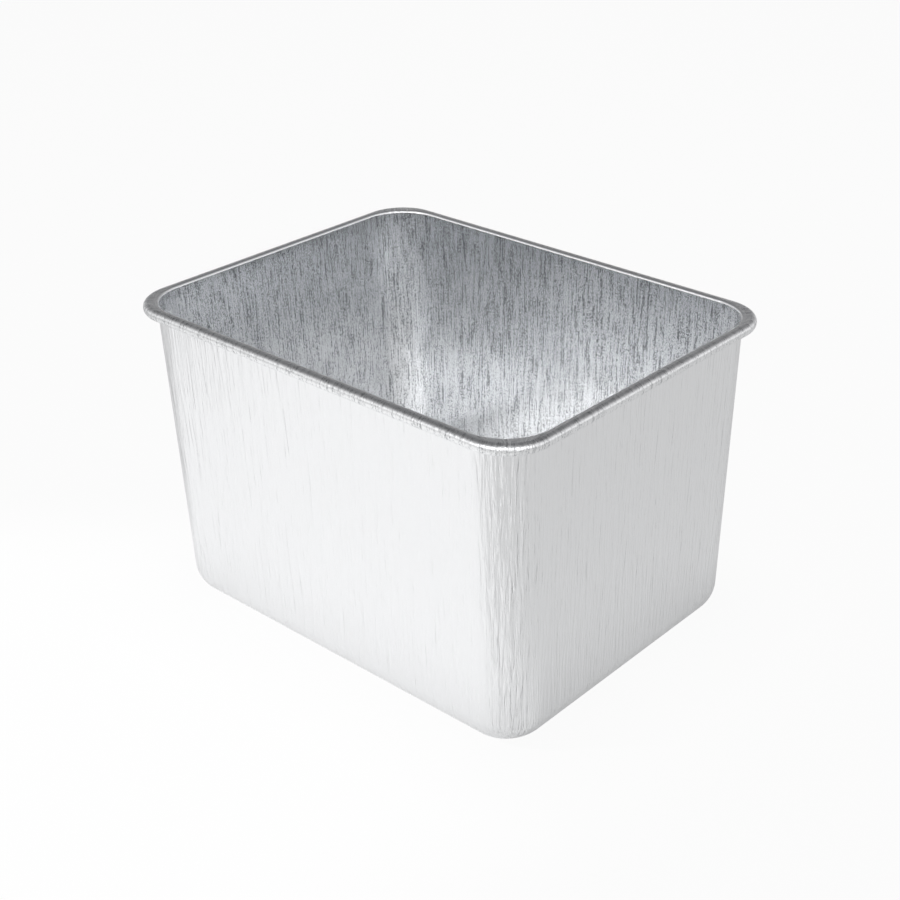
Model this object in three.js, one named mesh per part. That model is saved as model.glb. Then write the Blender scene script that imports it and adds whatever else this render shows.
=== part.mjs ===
// A deep bread pan: one drawn sheet with a rolled rim, and the wire that the rim is rolled round.
// Millimetres, +Z up. The origin is the middle of the underside and the long side runs along X.

import * as THREE from 'three';

// Driving dimensions of the pan
const MOUTH_LENGTH = 153.1; // between the end walls' inner faces, at the height of the rim's top
const MOUTH_WIDTH = 116.6; // between the long walls' inner faces, at the same height
const HEIGHT = 105.3; // underside to the top of the rim
const SHEET = 0.6; // thickness of the metal
const END_WALL_LEAN = 2.95; // how far each end wall comes in from the rim's top to the underside
const LONG_WALL_LEAN = 2.55; // the same for each long wall
const MOUTH_CORNER_RADIUS = 15.2; // inner face of an upright corner, at the height of the rim's top
const FLOOR_CORNER_RADIUS = 4; // corner of the flat underside
const BOTTOM_EDGE_RADIUS = 10.4; // outer face, between the walls and the underside

// Driving dimensions of the rim
const RIM_EDGE_RADIUS = 0.9; // where the wall's inner face turns over into the rim's top
const RIM_FLAT = 0.6; // flat of the rim's top along the sides, before the roll; it widens at the corners
const RIM_CORNER_RADIUS = 14.8; // outermost face of the roll
const ROLL_EDGE_GAP = 0.3; // between the wall's outer face and the sheet's free edge under the roll
const WIRE_DIAMETER = 1.6;
const WIRE_CLEARANCE = 0.3; // from the wire to the wall on one side of it and to the roll on the other
const WIRE_BUTT_GAP = 1; // between the two ends of the wire

// Facets of the round stretches
const CORNER_STEPS = 8; // in each quarter turn of the plan
const BEND_STEPS = 6; // in the bottom edge and in the rim's inner edge
const ROLL_STEPS = 14; // round the roll
const WIRE_SIDES = 8;

// Sizes that follow from the driving ones
const wireRadius = WIRE_DIAMETER / 2;
const wireOut = SHEET + WIRE_CLEARANCE + wireRadius; // middle of the wire, from the wall's inner face
const rollOut = RIM_EDGE_RADIUS + RIM_FLAT; // middle of the roll, from the wall's inner face
const rollInside = wireOut + wireRadius + WIRE_CLEARANCE - rollOut;
const rollOutside = rollInside + SHEET;
const rollHeight = HEIGHT - rollOutside;
const rollCornerRadius = RIM_CORNER_RADIUS - rollOutside; // of the roll's middle line
const baseCornerRadius = FLOOR_CORNER_RADIUS + BOTTOM_EDGE_RADIUS - SHEET; // of the wall's inner face

const quarter = Math.PI / 2;
const halfTurn = Math.PI;
const rollEnd = -quarter - Math.asin((rollOut - SHEET - ROLL_EDGE_GAP) / rollOutside);

// Points of an elliptical stretch, from one angle to the other.
function arc(centreX, centreY, radiusX, radiusY, from, to, steps) {
  const clockwise = to < from;
  const curve = new THREE.EllipseCurve(centreX, centreY, radiusX, radiusY, from, to, clockwise);
  return curve.getPoints(steps);
}

// The plan of the pan, a round-cornered rectangle, at a height and a distance outwards from the wall's
// inner face. The points run anticlockwise seen from above, and start at the corner in +X, +Y.
function planPoints(outwards, height, radius) {
  const depth = (HEIGHT - height) / HEIGHT;
  const halfX = MOUTH_LENGTH / 2 - END_WALL_LEAN * depth + outwards;
  const halfY = MOUTH_WIDTH / 2 - LONG_WALL_LEAN * depth + outwards;
  const signs = [[1, 1], [-1, 1], [-1, -1], [1, -1]];
  return signs.flatMap(([signX, signY], corner) => {
    const start = corner * quarter;
    const centreX = signX * (halfX - radius);
    const centreY = signY * (halfY - radius);
    const points = arc(centreX, centreY, radius, radius, start, start + quarter, CORNER_STEPS);
    return points.map((point) => new THREE.Vector3(point.x, point.y, height));
  });
}

// The corners of the walls and of the rim's inner edge share one middle at each height.
function wallPlan(outwards, height) {
  const depth = (HEIGHT - height) / HEIGHT;
  const radius = THREE.MathUtils.lerp(MOUTH_CORNER_RADIUS, baseCornerRadius, depth) + outwards;
  return planPoints(outwards, height, radius);
}

// The roll turns its corners tighter than the walls do.
function rollPlan(outwards, height) {
  return planPoints(outwards, height, rollCornerRadius + outwards - rollOut);
}

// The sheet as plans along its section: from the edge of the inside floor up the inner face, over the
// rim's inner edge, round the roll to the sheet's free edge, and back down the outer face to the edge of
// the underside.
function sheetPlans() {
  const bendOut = SHEET - BOTTOM_EDGE_RADIUS;
  const bend = (radius, from, to) => arc(bendOut, BOTTOM_EDGE_RADIUS, radius, radius, from, to, BEND_STEPS);
  const edge = (radius, from, to) => {
    return arc(RIM_EDGE_RADIUS, HEIGHT - RIM_EDGE_RADIUS, radius, radius, from, to, BEND_STEPS);
  };
  const roll = (radius, from, to) => arc(rollOut, rollHeight, radius, radius, from, to, ROLL_STEPS);
  const onWalls = (points) => points.map((point) => wallPlan(point.x, point.y));
  const onRoll = (points) => points.map((point) => rollPlan(point.x, point.y));
  return [
    ...onWalls(bend(BOTTOM_EDGE_RADIUS - SHEET, -quarter, 0)),
    ...onWalls(edge(RIM_EDGE_RADIUS, halfTurn, quarter)),
    ...onRoll(roll(rollOutside, quarter, rollEnd)),
    ...onRoll(roll(rollInside, rollEnd, quarter)),
    ...onWalls(edge(RIM_EDGE_RADIUS - SHEET, quarter, halfTurn)),
    ...onWalls(bend(BOTTOM_EDGE_RADIUS, 0, -quarter)),
  ];
}

// A closed solid through rings of equally many points, with a flat cap on its first and last ring.
// The rings wind so that the faces between them, and the caps, point out.
function loft(rings, capFaces) {
  const count = rings[0].length;
  const positions = rings.flat().flatMap((point) => [point.x, point.y, point.z]);
  const faces = [];
  for (let ring = 0; ring + 1 < rings.length; ring += 1) {
    for (let side = 0; side < count; side += 1) {
      const here = ring * count + side;
      const beside = ring * count + ((side + 1) % count);
      faces.push(here, here + count, beside, beside, here + count, beside + count);
    }
  }
  const last = (rings.length - 1) * count;
  for (const [a, b, c] of capFaces) {
    faces.push(a, b, c, last + c, last + b, last + a);
  }
  const geometry = new THREE.BufferGeometry();
  geometry.setAttribute('position', new THREE.Float32BufferAttribute(positions, 3));
  geometry.setIndex(faces);
  return geometry;
}

function namedMesh(name, geometry, finish) {
  const flat = geometry.toNonIndexed();
  flat.computeVertexNormals();
  const mesh = new THREE.Mesh(flat, new THREE.MeshStandardMaterial(finish));
  mesh.name = name;
  return mesh;
}

// The drawn sheet: its section carried round the plan, closed by the inside floor and the underside.
function panShell() {
  const rings = sheetPlans();
  const outline = rings[0].map((point) => new THREE.Vector2(point.x, point.y));
  const geometry = loft(rings, THREE.ShapeUtils.triangulateShape(outline, []));
  return namedMesh('pan_shell', geometry, { color: 0xd6d8da, roughness: 0.3, metalness: 1 });
}

// The wire: a round section carried along the middle of the roll, from one butt end round to the other.
function rimWire() {
  const middle = rollPlan(wireOut, rollHeight);
  const firstCorner = CORNER_STEPS + 1; // its points come last on the way round
  const buttY = middle[firstCorner].y;
  const buttEnd = (side) => new THREE.Vector3(side * WIRE_BUTT_GAP / 2, buttY, rollHeight);
  const way = [buttEnd(-1), ...middle.slice(firstCorner), ...middle.slice(0, firstCorner), buttEnd(1)];
  const section = arc(0, 0, wireRadius, wireRadius, 0, 2 * halfTurn, WIRE_SIDES).slice(1);
  const up = new THREE.Vector3(0, 0, 1);
  const rings = way.map((point, index) => {
    const before = way[Math.max(index - 1, 0)];
    const after = way[Math.min(index + 1, way.length - 1)];
    const into = point.clone().sub(before).normalize();
    const outOf = after.clone().sub(point).normalize();
    const outwards = into.add(outOf).normalize().cross(up);
    return section.map((spot) => {
      const across = point.clone().addScaledVector(outwards, spot.x);
      return across.addScaledVector(up, spot.y);
    });
  });
  const geometry = loft(rings, THREE.ShapeUtils.triangulateShape(section, []));
  return namedMesh('rim_wire', geometry, { color: 0x9b9da0, roughness: 0.4, metalness: 1 });
}

const pan = new THREE.Group();
pan.add(panShell(), rimWire());

export default pan;
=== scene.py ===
"""A deep bread pan of bright drawn sheet with a wired, rolled rim, standing on a white studio floor."""

import math

import bpy
import numpy as np
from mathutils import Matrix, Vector


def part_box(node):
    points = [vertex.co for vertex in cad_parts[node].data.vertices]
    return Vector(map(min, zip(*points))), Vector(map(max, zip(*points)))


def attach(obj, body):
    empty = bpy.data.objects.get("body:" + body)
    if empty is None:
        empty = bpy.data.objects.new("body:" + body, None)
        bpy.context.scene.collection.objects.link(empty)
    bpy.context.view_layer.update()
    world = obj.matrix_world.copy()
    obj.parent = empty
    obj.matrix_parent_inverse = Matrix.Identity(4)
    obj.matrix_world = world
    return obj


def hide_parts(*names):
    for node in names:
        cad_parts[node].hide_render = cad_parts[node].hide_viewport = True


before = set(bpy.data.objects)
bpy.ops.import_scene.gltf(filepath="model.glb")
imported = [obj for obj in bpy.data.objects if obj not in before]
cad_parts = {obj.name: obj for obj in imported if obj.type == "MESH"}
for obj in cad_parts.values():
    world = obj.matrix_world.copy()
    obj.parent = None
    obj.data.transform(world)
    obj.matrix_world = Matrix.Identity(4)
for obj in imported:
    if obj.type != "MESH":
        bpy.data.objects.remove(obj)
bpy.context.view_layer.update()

MM = 0.001
QUARTER = math.pi / 2
WHITE = (1, 1, 1, 1)

# The sheet and its rim, as the part is made
SHEET = 0.6 * MM
END_WALL_LEAN = 2.95 * MM
LONG_WALL_LEAN = 2.55 * MM
MOUTH_CORNER_RADIUS = 15.2 * MM
FLOOR_CORNER_RADIUS = 4 * MM
BOTTOM_EDGE_RADIUS = 10.4 * MM
RIM_EDGE_RADIUS = 0.9 * MM
RIM_FLAT = 0.6 * MM
RIM_CORNER_RADIUS = 14.8 * MM
ROLL_EDGE_GAP = 0.3 * MM
WIRE_CLEARANCE = 0.3 * MM
WIRE_BUTT_GAP = 1 * MM

# Fineness of the meshes
CORNER_STEPS = 24
SIDE_STEPS = 24
WALL_STEPS = 24
BEND_STEPS = 16
RIM_EDGE_STEPS = 12
RIM_FLAT_STEPS = 4
ROLL_STEPS = 36
FLOOR_RINGS = 12
WIRE_SIDES = 20

# Sizes taken from the frame, and what follows from them
shell_low, shell_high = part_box("pan_shell")
wire_low, wire_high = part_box("rim_wire")
height = shell_high.z - shell_low.z
wire_radius = (wire_high.z - wire_low.z) / 2
wire_out = SHEET + WIRE_CLEARANCE + wire_radius
roll_out = RIM_EDGE_RADIUS + RIM_FLAT
roll_inside = wire_out + wire_radius + WIRE_CLEARANCE - roll_out
roll_outside = roll_inside + SHEET
roll_up = height - roll_outside
roll_corner_radius = RIM_CORNER_RADIUS - roll_outside
roll_end = -QUARTER - math.asin((roll_out - SHEET - ROLL_EDGE_GAP) / roll_outside)
bend_out = SHEET - BOTTOM_EDGE_RADIUS
base_corner_radius = FLOOR_CORNER_RADIUS - bend_out
rim_reach = roll_out + roll_outside
mouth_half_length = shell_high.x - rim_reach + END_WALL_LEAN * roll_outside / height
mouth_half_width = shell_high.y - rim_reach + LONG_WALL_LEAN * roll_outside / height


# Shader nodes as Python expressions


class Shade:
    """One output of a shader node, which takes part in Python expressions."""

    def __init__(self, tree, output=None):
        self.tree = tree
        self.output = output

    def node(self, kind, settings=(), sockets=(), output=0):
        """Adds a node: its settings first, then the values or links of its sockets."""
        made = self.tree.nodes.new("ShaderNode" + kind)
        for name, value in dict(settings).items():
            setattr(made, name, value)
        for key, value in dict(sockets).items():
            if isinstance(value, Shade):
                self.tree.links.new(value.output, made.inputs[key])
            else:
                made.inputs[key].default_value = value
        return Shade(self.tree, made.outputs[output] if made.outputs else None)

    def maths(self, operation, first, second):
        return self.node("Math", {"operation": operation}, {0: first, 1: second})

    def __add__(self, other):
        return self.maths("ADD", self, other)

    __radd__ = __add__

    def __sub__(self, other):
        return self.maths("SUBTRACT", self, other)

    def __rsub__(self, other):
        return self.maths("SUBTRACT", other, self)

    def __mul__(self, other):
        return self.maths("MULTIPLY", self, other)

    __rmul__ = __mul__

    def smooth_rise(self, low, high):
        """Runs smoothly from 0 at low to 1 at high."""
        sockets = {"Value": self, "From Min": low, "From Max": high}
        return self.node("MapRange", {"interpolation_type": "SMOOTHSTEP"}, sockets)

    def mix_colours(self, first, second):
        """The first colour where this value is 0, and the second where it is 1."""
        factor, colour_a, colour_b, colour_result = 0, 6, 7, 2
        sockets = {factor: self, colour_a: first, colour_b: second}
        return self.node("Mix", {"data_type": "RGBA"}, sockets, colour_result)

    def mix_surfaces(self, first, second):
        """The first surface where this value is 0, and the second where it is 1."""
        return self.node("MixShader", (), {0: self, 1: first, 2: second})

    def light_path(self, ray):
        return self.node("LightPath", output=ray)

    def seen_in_metal(self):
        """1 for what metal mirrors or glass lets through, and 0 for the rest."""
        return self.light_path("Is Glossy Ray") + self.light_path("Is Transmission Ray")


def new_finish(name):
    material = bpy.data.materials.new(name)
    material.use_nodes = True
    material.node_tree.nodes.clear()
    return material, Shade(material.node_tree)


# Camera, floor and lights


def make_camera():
    """Looks down on one corner of the pan, with a long side to the left and an end to the right."""
    azimuth = math.radians(40.238)
    elevation = math.radians(27.999)
    back = Vector((
        math.sin(azimuth) * math.cos(elevation),
        -math.cos(azimuth) * math.cos(elevation),
        math.sin(elevation),
    ))
    data = bpy.data.cameras.new("camera")
    data.sensor_width = 36
    data.lens = 62.68
    data.shift_x = -0.0803
    data.clip_start = 0.01
    data.clip_end = 100
    camera = bpy.data.objects.new("camera", data)
    camera.location = (0.30662, -0.32627, 0.29270)
    camera.rotation_mode = "QUATERNION"
    camera.rotation_quaternion = (-back).to_track_quat("-Z", "Y")
    bpy.context.scene.collection.objects.link(camera)
    bpy.context.scene.camera = camera


def make_floor():
    """A floor that is white to the camera and pale grey in the metal, and keeps a pale shadow."""
    reach = 20
    grey = (0.355, 0.355, 0.355, 1)
    white_to_camera = 0.95
    white_in_metal = 0.4
    corners = [(-reach, -reach, 0), (reach, -reach, 0), (reach, reach, 0), (-reach, reach, 0)]
    mesh = bpy.data.meshes.new("floor")
    mesh.from_pydata(corners, [], [(0, 1, 2, 3)])
    floor = bpy.data.objects.new("floor", mesh)
    bpy.context.scene.collection.objects.link(floor)
    material, start = new_finish("white_floor")
    lit = start.node("BsdfDiffuse", (), {"Color": grey})
    glow = start.node("Emission", (), {"Color": WHITE})
    share = start.light_path("Is Camera Ray") * white_to_camera + start.seen_in_metal() * white_in_metal
    start.node("OutputMaterial", (), {"Surface": share.mix_surfaces(lit, glow)})
    mesh.materials.append(material)


def make_world():
    """A studio that is white low down in front of the pan, and dark above and behind it. It lights matt
    surfaces less than it shows in metal."""
    dark = (0.15, 0.15, 0.155, 1)
    towards_front = (0.324, -0.313, -1)
    light_on_dull = 0.3
    world = bpy.data.worlds.new("studio")
    world.use_nodes = True
    world.node_tree.nodes.clear()
    bpy.context.scene.world = world
    start = Shade(world.node_tree)
    direction = start.node("TexCoord", output="Generated")
    sockets = {0: direction, 1: towards_front}
    forward = start.node("VectorMath", {"operation": "DOT_PRODUCT"}, sockets, "Value")
    colour = forward.smooth_rise(-1, 0).mix_colours(dark, WHITE)
    shown = start.light_path("Is Camera Ray") + start.seen_in_metal()
    strength = shown * (1 - light_on_dull) + light_on_dull
    background = start.node("Background", (), {"Color": colour, "Strength": strength})
    start.node("OutputWorld", (), {"Surface": background})


def hang(data, target, towards, distance, shows_in_metal):
    """Hangs a lamp in the given direction from a spot, aimed back at it."""
    lamp = bpy.data.objects.new(data.name, data)
    direction = Vector(towards).normalized()
    lamp.location = Vector(target) + direction * distance
    lamp.rotation_mode = "QUATERNION"
    lamp.rotation_quaternion = direction.to_track_quat("Z", "Y")
    lamp.visible_camera = False
    lamp.visible_glossy = shows_in_metal
    bpy.context.scene.collection.objects.link(lamp)


def softbox(name, towards, size, radiance, shows_in_metal):
    """A lamp with a flat face that is as bright as the radiance says, aimed at the middle of the pan."""
    distance = 1.2
    width, length = size
    data = bpy.data.lights.new(name, "AREA")
    data.shape = "RECTANGLE"
    data.size = width
    data.size_y = length
    data.energy = radiance * math.pi * width * length
    hang(data, (0, 0, height / 2), towards, distance, shows_in_metal)


def floor_spot(name, middle, towards, width, softness, brightness):
    """A snooted lamp that makes a round, soft-edged pool of light on the studio's or the pan's floor. The
    brightness is that of a white surface that faces the lamp there."""
    distance = 2.4
    data = bpy.data.lights.new(name, "SPOT")
    data.spot_size = 2 * math.atan(width / 2 / distance)
    data.spot_blend = softness
    data.shadow_soft_size = 0.01
    data.energy = brightness * 4 * math.pi ** 2 * distance ** 2
    hang(data, (*middle, 0), towards, distance, shows_in_metal=False)


make_camera()
make_floor()
make_world()
softbox("top_lamp", towards=(0, 0, 1), size=(0.4, 0.4), radiance=26, shows_in_metal=False)
floor_spot(
    "front_spot", middle=(-0.112, -0.222), towards=(-0.68, -0.73, 0.7),
    width=0.32, softness=0.5, brightness=2.7,
)
floor_spot(
    "pool_spot", middle=(-0.046, -0.036), towards=(0.3, 0.25, 1),
    width=0.125, softness=0.8, brightness=0.64,
)
softbox("long_softbox", towards=(0.34, -0.94, 0.5), size=(2.0, 0.5), radiance=1.3, shows_in_metal=True)


# Shape of the sheet and the wire


def arc(centre, radius, begin, end, steps):
    """Points of a round stretch, from one angle to the other."""
    angles = np.linspace(begin, end, steps + 1)
    return np.stack([centre[0] + radius * np.cos(angles), centre[1] + radius * np.sin(angles)], 1)


def between(start, end, steps):
    """Points or outlines that run evenly from one to the other, without the two ends."""
    return [start + (end - start) * step / steps for step in range(1, steps)]


def plan(outwards, level, radius):
    """The pan's outline at a level and a distance outwards from the wall's inner face."""
    depth = (height - level) / height
    half_x = mouth_half_length - END_WALL_LEAN * depth + outwards
    half_y = mouth_half_width - LONG_WALL_LEAN * depth + outwards
    corners = []
    for turn, (sign_x, sign_y) in enumerate([(1, 1), (-1, 1), (-1, -1), (1, -1)]):
        centre = (sign_x * (half_x - radius), sign_y * (half_y - radius))
        begin = turn * QUARTER
        corners.append(arc(centre, radius, begin, begin + QUARTER, CORNER_STEPS))
    outline = []
    for corner, following in zip(corners, corners[1:] + corners[:1]):
        outline += [corner, between(corner[-1], following[0], SIDE_STEPS)]
    outline = np.concatenate(outline)
    return np.column_stack([outline, np.full(len(outline), level)])


def wall_plan(outwards, level):
    """The corners of the walls and of the rim's inner edge share one middle at each level."""
    depth = (height - level) / height
    radius = MOUTH_CORNER_RADIUS * (1 - depth) + base_corner_radius * depth + outwards
    return plan(outwards, level, radius)


def roll_plan(outwards, level):
    """The roll turns its corners tighter than the walls do."""
    return plan(outwards, level, roll_corner_radius + outwards - roll_out)


def bend(radius, begin, end):
    """Outlines round the bottom edge."""
    points = arc((bend_out, BOTTOM_EDGE_RADIUS), radius, begin, end, BEND_STEPS)
    return [wall_plan(*point) for point in points]


def rim_edge(radius, begin, end):
    """Outlines where the wall turns over into the rim's top."""
    points = arc((RIM_EDGE_RADIUS, height - RIM_EDGE_RADIUS), radius, begin, end, RIM_EDGE_STEPS)
    return [wall_plan(*point) for point in points]


def roll(radius, begin, end):
    """Outlines round the rolled rim."""
    points = arc((roll_out, roll_up), radius, begin, end, ROLL_STEPS)
    return [roll_plan(*point) for point in points]


def inside_rings():
    """The sheet from the middle of the inside floor up to the rim's top."""
    low_bend = bend(-bend_out, -QUARTER, 0)
    edge = rim_edge(RIM_EDGE_RADIUS, math.pi, QUARTER)
    middle = low_bend[0] * (0, 0, 1)
    floor = between(middle, low_bend[0], FLOOR_RINGS)
    return floor + low_bend + between(low_bend[-1], edge[0], WALL_STEPS) + edge


def rim_rings(inner_edge):
    """The sheet from the rim's top round the roll to its free edge, and back under the rim's top."""
    outer = roll(roll_outside, QUARTER, roll_end)
    inner = roll(roll_inside, roll_end, QUARTER)
    under_edge = rim_edge(RIM_EDGE_RADIUS - SHEET, QUARTER, math.pi)
    top = between(inner_edge, outer[0], RIM_FLAT_STEPS)
    under_top = between(inner[-1], under_edge[0], RIM_FLAT_STEPS)
    return top + outer + inner + under_top + under_edge


def outside_rings(under_edge):
    """The sheet from under the rim down to the middle of the underside."""
    low_bend = bend(BOTTOM_EDGE_RADIUS, 0, -QUARTER)
    middle = low_bend[-1] * (0, 0, 1)
    base = between(low_bend[-1], middle, FLOOR_RINGS)
    return between(under_edge, low_bend[0], WALL_STEPS) + low_bend + base


def ring_faces(rings, count):
    """Quads between rings of equally many points."""
    return [
        (ring * count + side, (ring + 1) * count + side,
         (ring + 1) * count + (side + 1) % count, ring * count + (side + 1) % count)
        for ring in range(rings - 1)
        for side in range(count)
    ]


def fan(middle, ring, count, upwards):
    """Triangles from a middle point to a ring."""
    pairs = [(ring * count + side, ring * count + (side + 1) % count) for side in range(count)]
    return [(middle, a, b) if upwards else (middle, b, a) for a, b in pairs]


def new_piece(name, points, faces, material):
    mesh = bpy.data.meshes.new(name)
    mesh.from_pydata(points.tolist(), [], faces)
    mesh.shade_smooth()
    mesh.materials.append(material)
    piece = bpy.data.objects.new(name, mesh)
    bpy.context.scene.collection.objects.link(piece)
    return piece


def set_measure(piece, name, values):
    """Stores a number or a place for each point, for the finish to read."""
    values = np.asarray(values, np.float32)
    kind, field = ("FLOAT", "value") if values.ndim == 1 else ("FLOAT_VECTOR", "vector")
    measure = piece.data.attributes.new(name, kind, "POINT")
    measure.data.foreach_set(field, values.ravel())


def set_ring_measure(pan, name, values, count):
    """Stores one number for each ring of points. The two middle points take the first and the last one."""
    set_measure(pan, name, np.append(np.repeat(values, count), [values[0], values[-1]]))


def streak_places(rings, flat):
    """Where each point lies on the sheet: round the mouth and along the section on the walls, so that
    the streaks run up them, and as it is seen from above on the flat floor and underside."""
    mouth = wall_plan(0, height)
    section = np.array([ring[CORNER_STEPS] for ring in rings])
    steps = np.linalg.norm(np.diff(section, axis=0), axis=1) * (1 - flat[1:])
    walk = np.concatenate([[0], np.cumsum(steps)])
    places = []
    for ring, share, way in zip(rings, flat, walk):
        across = mouth[:, :2] * (1 - share) + ring[:, :2] * share
        places.append(np.column_stack([across, np.full(len(ring), way)]))
    middles = [[(0, 0, way)] for way in (walk[0], walk[-1])]
    return np.concatenate(places + middles)


def corner_shares():
    """How far each point of an outline has turned into a round corner: 0 on the sides, 1 at its middle."""
    along = np.gradient(wall_plan(0, height)[:, :2], axis=0)
    turn = np.arctan2(*np.abs(along).T)
    return np.sin(2 * turn) ** 2


def measure_pan(pan, rings, inside_count, rim_count):
    """Marks the parts of the sheet that differ in finish, and where the streaks lie on it."""
    count = len(rings[0])
    order = np.arange(len(rings))
    bend_end = FLOOR_RINGS + BEND_STEPS
    flat = np.interp(np.minimum(order, order[::-1]), [FLOOR_RINGS, bend_end], [1, 0])
    set_measure(pan, "streak_place", streak_places(rings, flat))
    set_measure(pan, "round_corner", np.append(np.tile(corner_shares(), len(rings)), [0, 0]))
    set_ring_measure(pan, "inside", order < inside_count - RIM_EDGE_STEPS, count)
    on_floor = np.interp(order, [FLOOR_RINGS + BEND_STEPS // 2, bend_end], [1, 0])
    set_ring_measure(pan, "inside_floor", on_floor, count)
    on_rim = (order >= inside_count) & (order < inside_count + rim_count)
    set_ring_measure(pan, "rim", on_rim, count)


def make_pan(material):
    """The drawn sheet: its section carried round the plan, closed by the inside floor and the base."""
    inside = inside_rings()
    rim = rim_rings(inside[-1])
    rings = inside + rim + outside_rings(rim[-1])
    count = len(rings[0])
    middles = [(0, 0, rings[0][0][2]), (0, 0, rings[-1][0][2])]
    points = np.concatenate(rings + [middles])
    floor_middle = len(points) - 2
    base_middle = len(points) - 1
    faces = ring_faces(len(rings), count)
    faces += fan(floor_middle, 0, count, upwards=True)
    faces += fan(base_middle, len(rings) - 1, count, upwards=False)
    pan = new_piece("bread_pan_sheet", points, faces, material)
    measure_pan(pan, rings, len(inside), len(rim))
    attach(pan, "root")
    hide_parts("pan_shell")


def make_wire(material):
    """The wire that the rim is rolled round, from one butt end round to the other."""
    outline = roll_plan(wire_out, roll_up)
    middle = CORNER_STEPS + SIDE_STEPS // 2
    ends = [outline[middle] + (side * WIRE_BUTT_GAP / 2, 0, 0) for side in (-1, 1)]
    way = np.concatenate([ends[:1], outline[middle + 1:], outline[:middle], ends[1:]])
    onward = np.gradient(way, axis=0)
    onward /= np.linalg.norm(onward, axis=1, keepdims=True)
    up = np.array([0, 0, 1])
    outwards = np.cross(onward, up)
    angles = np.linspace(0, 2 * math.pi, WIRE_SIDES, endpoint=False)
    rings = [
        way + wire_radius * (math.cos(angle) * outwards + math.sin(angle) * up)
        for angle in angles
    ]
    points = np.stack(rings, 1).reshape(-1, 3)
    faces = ring_faces(len(way), WIRE_SIDES)
    last = (len(way) - 1) * WIRE_SIDES
    faces.append(tuple(range(WIRE_SIDES)))
    faces.append(tuple(last + side for side in reversed(range(WIRE_SIDES))))
    wire = new_piece("rim_wire_round", points, faces, material)
    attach(wire, "root")
    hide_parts("rim_wire")


# Finishes


def streaks(start, place, width, length, distortion, detail):
    """Uneven streaks of about this width and length, in metres. The values are about -1 to 1."""
    stretch = (1 / width, 1 / width, 1 / length)
    stretched = start.node("VectorMath", {"operation": "MULTIPLY"}, {0: place, 1: stretch})
    sockets = {
        "Vector": stretched,
        "Scale": 1,
        "Detail": detail,
        "Roughness": 0.55,
        "Distortion": distortion,
    }
    return start.node("TexNoise", {"noise_dimensions": "3D", "normalize": False}, sockets)


def measure(start, name, output="Fac"):
    """A measure that the sheet's points carry."""
    return start.node("Attribute", {"attribute_name": name}, (), output)


def bright_sheet():
    """Bright aluminium sheet with upright draw wrinkles, fine streaks and a light grain. The wrinkles are
    deepest at the upright corners, and the floor is matt. The streaks also darken the colour of the inside
    and the rim: partly duller streaks of the sheet, partly painted reflections and painted shade."""
    # dark is the colour of the duller streaks and of the painted reflections and painted shade on the
    # inside and the rim
    bright = (0.983, 0.99, 1, 1)
    dark = (0.36, 0.37, 0.382, 1)
    material, start = new_finish("bright_sheet")
    place = measure(start, "streak_place", "Vector")
    inside = measure(start, "inside")
    floor = measure(start, "inside_floor")
    rim = measure(start, "rim")
    corner = measure(start, "round_corner")
    wrinkles = streaks(start, place, width=1.4 * MM, length=18 * MM, distortion=0.7, detail=2)
    fine = streaks(start, place, width=0.5 * MM, length=8 * MM, distortion=0.3, detail=2)
    grain = streaks(start, place, width=0.4 * MM, length=0.6 * MM, distortion=0, detail=1)

    depth = (1 + corner * 2.7) * (1 - inside * 0.65) * (1 - rim * 0.2)
    heights_in_mm = (wrinkles * 0.08 + fine * 0.02 + grain * 0.01) * depth
    bump = start.node("Bump", (), {"Strength": 1, "Distance": MM, "Height": heights_in_mm}, "Normal")

    # Painted reflections and painted shade, partly duller streaks of the sheet: light and dark streaks
    # darken the colour of the inside, and half as much the rim, standing in for what they mirror
    dull_streaks_and_painted_reflections = (wrinkles * 0.5 + fine * 1.2 + grain * 1.4 + 0.07) * (inside + rim * 0.5)
    colour = dull_streaks_and_painted_reflections.mix_colours(bright, dark)
    sockets = {"Base Color": colour, "Metallic": 1 - floor * 0.7, "Normal": bump}
    broad_roughness = 0.29 + inside * 0.11 + floor * 0.34
    broad = start.node("BsdfPrincipled", (), {**sockets, "Roughness": broad_roughness})
    sharp = start.node("BsdfPrincipled", (), {**sockets, "Roughness": 0.12})
    sharp_share = (inside - floor) * 0.82
    start.node("OutputMaterial", (), {"Surface": sharp_share.mix_surfaces(broad, sharp)})
    return material


def drawn_wire():
    """Plain drawn steel wire."""
    material, start = new_finish("drawn_wire")
    place = start.node("TexCoord", output="Object")
    mottle = streaks(start, place, width=1.5 * MM, length=1.5 * MM, distortion=0.4, detail=3)
    sockets = {
        "Base Color": (0.58, 0.59, 0.6, 1),
        "Metallic": 1,
        "Roughness": 0.35 + mottle * 0.08,
    }
    surface = start.node("BsdfPrincipled", (), sockets)
    start.node("OutputMaterial", (), {"Surface": surface})
    return material


make_pan(bright_sheet())
make_wire(drawn_wire())

bpy.context.scene.cycles.glossy_bounces = 12
bpy.context.scene.view_settings.view_transform = "Standard"
